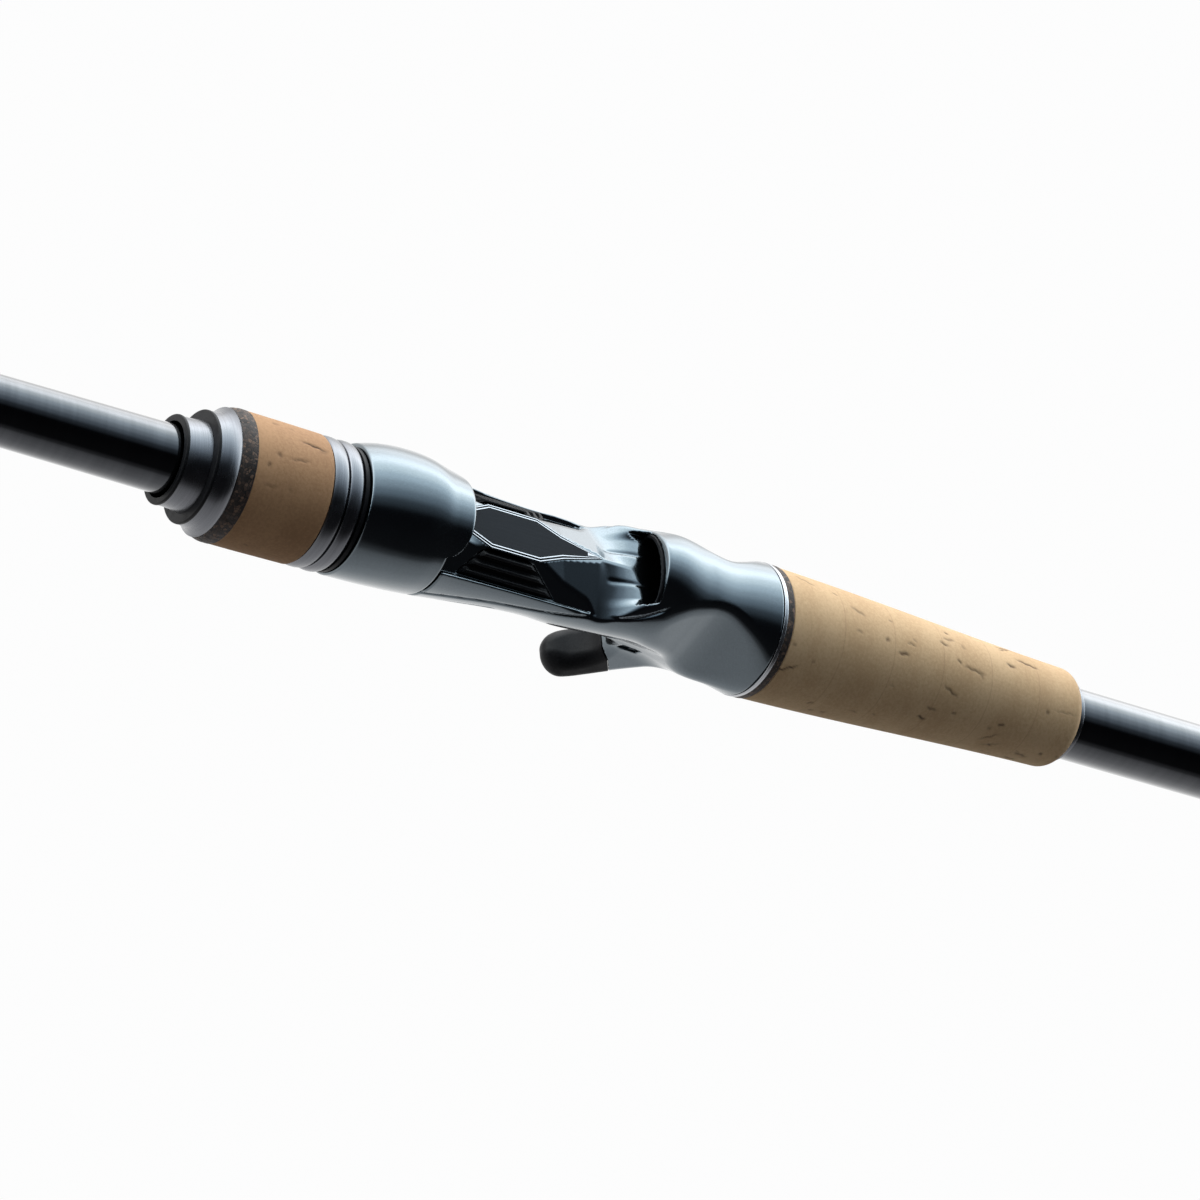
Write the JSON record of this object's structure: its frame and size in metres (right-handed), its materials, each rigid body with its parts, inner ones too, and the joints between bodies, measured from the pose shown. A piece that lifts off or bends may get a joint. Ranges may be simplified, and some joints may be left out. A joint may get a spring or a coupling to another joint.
{
  "type": "casting fishing rod",
  "caption": "Trigger-grip casting rod with a tapered carbon blank, screw-down reel seat, cork grips and line guides; carries no reel.",
  "frame": {"origin": "on the rod's axis, in the plane where the locking nut's washer meets the lock ring, in front of the reel seat's hood", "axes": "+X along the rod towards the butt, tip towards -X; +Z out of the reel deck, the side the reel and guides are on; +Y to the left seen from the butt"},
  "size_m": [1.8249, 0.0284, 0.0525],
  "materials": {
    "seat_gloss": "gloss gunmetal moulding",
    "soft_black": "matt black soft plastic",
    "satin_metal": "satin anodised",
    "bright_alloy": "machined",
    "cork": "sanded cork",
    "burl_cork": "dark composite cork",
    "badge_black": "polished dark plate",
    "ring_ceramic": "polished ring",
    "guide_metal": "dark stainless",
    "thread_wrap": "varnished thread",
    "blank_carbon": "clear-coated carbon tube"
  },
  "bodies": {
    "rod": {"badge_frame": "satin_metal", "badge_plate": "badge_black", "butt_burl_ring": "burl_cork", "butt_cap": "soft_black", "butt_cork_disc_1": "cork", "butt_cork_disc_2": "cork", "butt_cork_disc_3": "cork", "butt_trim_ring": "satin_metal", "grip_pipe": "blank_carbon", "guide_1_frame": "guide_metal", "guide_1_ring": "ring_ceramic", "guide_1_wrap": "thread_wrap", "guide_2_frame": "guide_metal", "guide_2_ring": "ring_ceramic", "guide_2_wrap": "thread_wrap", "guide_3_frame": "guide_metal", "guide_3_ring": "ring_ceramic", "guide_3_wrap": "thread_wrap", "guide_4_frame": "guide_metal", "guide_4_ring": "ring_ceramic", "guide_4_wrap": "thread_wrap", "guide_5_frame": "guide_metal", "guide_5_ring": "ring_ceramic", "guide_5_wrap": "thread_wrap", "guide_6_frame": "guide_metal", "guide_6_ring": "ring_ceramic", "guide_6_wrap": "thread_wrap", "guide_7_frame": "guide_metal", "guide_7_ring": "ring_ceramic", "guide_7_wrap": "thread_wrap", "rear_check_ring": "burl_cork", "rear_cork_disc_1": "cork", "rear_cork_disc_2": "cork", "rear_cork_disc_3": "cork", "rear_cork_disc_4": "cork", "rear_cork_disc_5": "cork", "rear_cork_disc_6": "cork", "rear_hood_liner": "soft_black", "rear_tail_ring": "satin_metal", "reel_seat": "seat_gloss", "rod_blank": "blank_carbon", "seat_end_ring": "satin_metal", "side_insert_left": "soft_black", "side_insert_right": "soft_black", "tip_top_frame": "guide_metal", "tip_top_ring": "ring_ceramic", "trigger_pad": "soft_black"},
    "hood": {"front_hood": "seat_gloss"},
    "nut": {"nut_insert": "bright_alloy", "lock_ring": "satin_metal", "fore_grip": "cork", "fore_burl_ring": "burl_cork", "check_ring_small": "satin_metal", "check_ring_large": "satin_metal", "check_face_small": "soft_black", "check_face_large": "soft_black", "thrust_washer": "soft_black"}
  },
  "joints": [
    {"name": "hood_slide", "type": "slide", "parent": "rod", "child": "hood", "axis": [-1, 0, 0], "range_m": [0, 0.012]},
    {"name": "nut_spin", "type": "hinge", "parent": "hood", "child": "nut", "pos_m": [0, 0, 0], "axis": [1, 0, 0], "range_deg": [0, 2160]}
  ],
  "couplings": [
    {"joint": "hood_slide", "follows": "nut_spin", "m_per_rad": 0.00031828}
  ]
}
